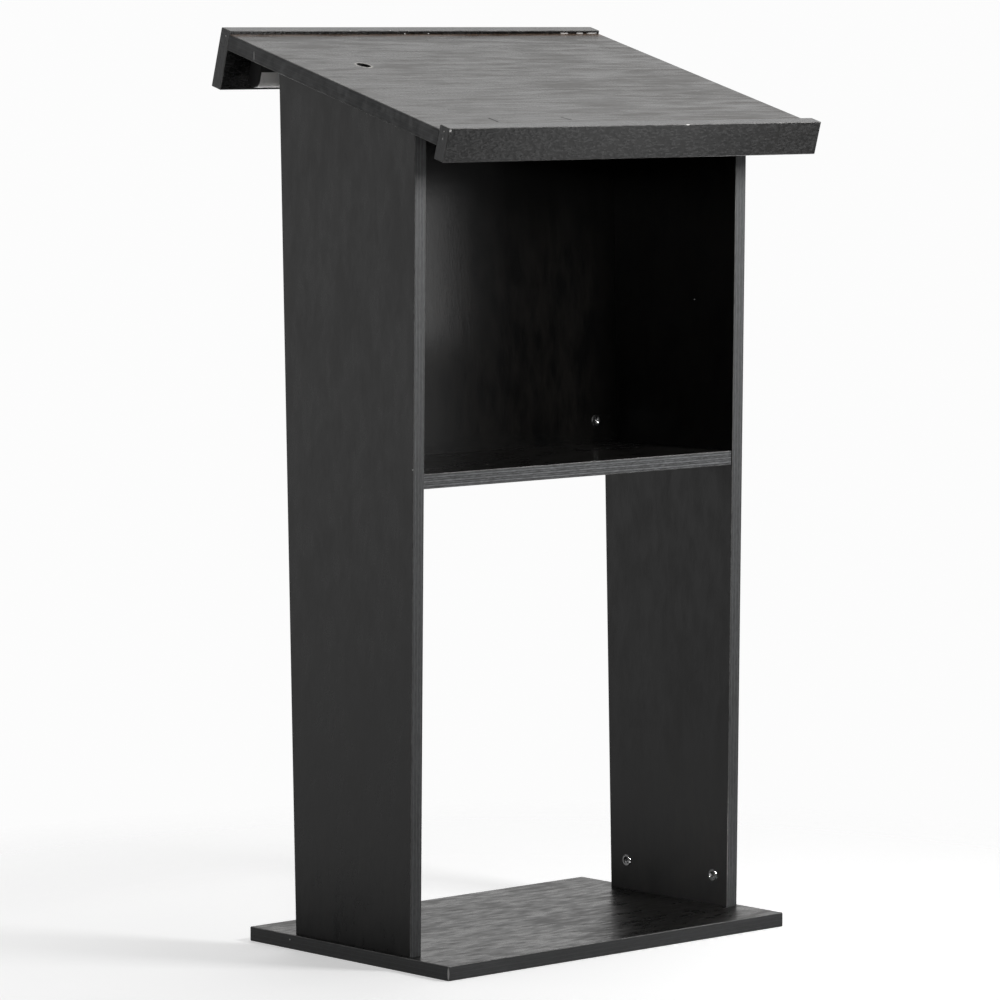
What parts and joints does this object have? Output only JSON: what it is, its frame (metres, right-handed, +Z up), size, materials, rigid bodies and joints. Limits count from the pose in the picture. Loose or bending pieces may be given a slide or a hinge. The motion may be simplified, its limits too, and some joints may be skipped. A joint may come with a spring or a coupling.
{
  "type": "lectern",
  "caption": "Free-standing plywood lectern with a sloping desk top, book stop, open compartment with a shelf, flat base, and a slim lamp behind the fascia.",
  "frame": {"origin": "centre of the base plate's underside, on the floor", "axes": "+Z up, +Y from the speaker towards the audience, +X to the speaker's right"},
  "size_m": [0.657, 0.4685, 1.2031],
  "materials": {
    "stained_plywood": "satin black stain",
    "raw_plywood": "unfinished",
    "zinc": "bright zinc",
    "bright_steel": "zinc plated",
    "black_metal": "satin black",
    "black_plastic": "matt",
    "switch_plastic": "gloss",
    "white_plastic": "matt",
    "opal_plastic": "opal",
    "lamp_glass": "phosphor coated",
    "cap_metal": "satin",
    "ballast_metal": "satin white",
    "rubber": "matt"
  },
  "bodies": {
    "lectern": {"base_plate": "stained_plywood", "left_side_panel": "stained_plywood", "right_side_panel": "stained_plywood", "front_panel": "stained_plywood", "shelf": "stained_plywood", "desk_top": "stained_plywood", "book_stop": "stained_plywood", "fascia": "stained_plywood", "shelf_splines": "raw_plywood", "desk_splines": "raw_plywood", "book_stop_spline": "raw_plywood", "fascia_spline": "raw_plywood", "base_cams": "zinc", "front_panel_cams": "zinc", "base_cam_bolts": "bright_steel", "front_panel_cam_bolts": "bright_steel", "lamp_clip_screws": "bright_steel", "lamp_clips": "bright_steel", "lamp_housing": "black_metal", "lamp_left_end_cap": "black_plastic", "lamp_right_end_cap": "black_plastic", "lamp_switch_body": "black_plastic", "lamp_left_holder": "white_plastic", "lamp_right_holder": "white_plastic", "lamp_diffuser": "opal_plastic", "lamp_ballast": "ballast_metal", "lamp_cable_grommet": "rubber"},
    "tube": {"lamp_tube": "lamp_glass", "lamp_tube_caps": "cap_metal"},
    "rocker": {"lamp_switch_rocker": "switch_plastic"}
  },
  "joints": [
    {"name": "tube_twist", "type": "hinge", "parent": "lectern", "child": "tube", "pos_m": [0, 0.19156, 1.13535], "axis": [1, 0, 0], "range_deg": [0, 90]},
    {"name": "switch_rock", "type": "hinge", "parent": "lectern", "child": "rocker", "pos_m": [0.2535, 0.17764, 1.15516], "axis": [0, -0.2723, 0.9622], "range_deg": [0, 18]}
  ]
}
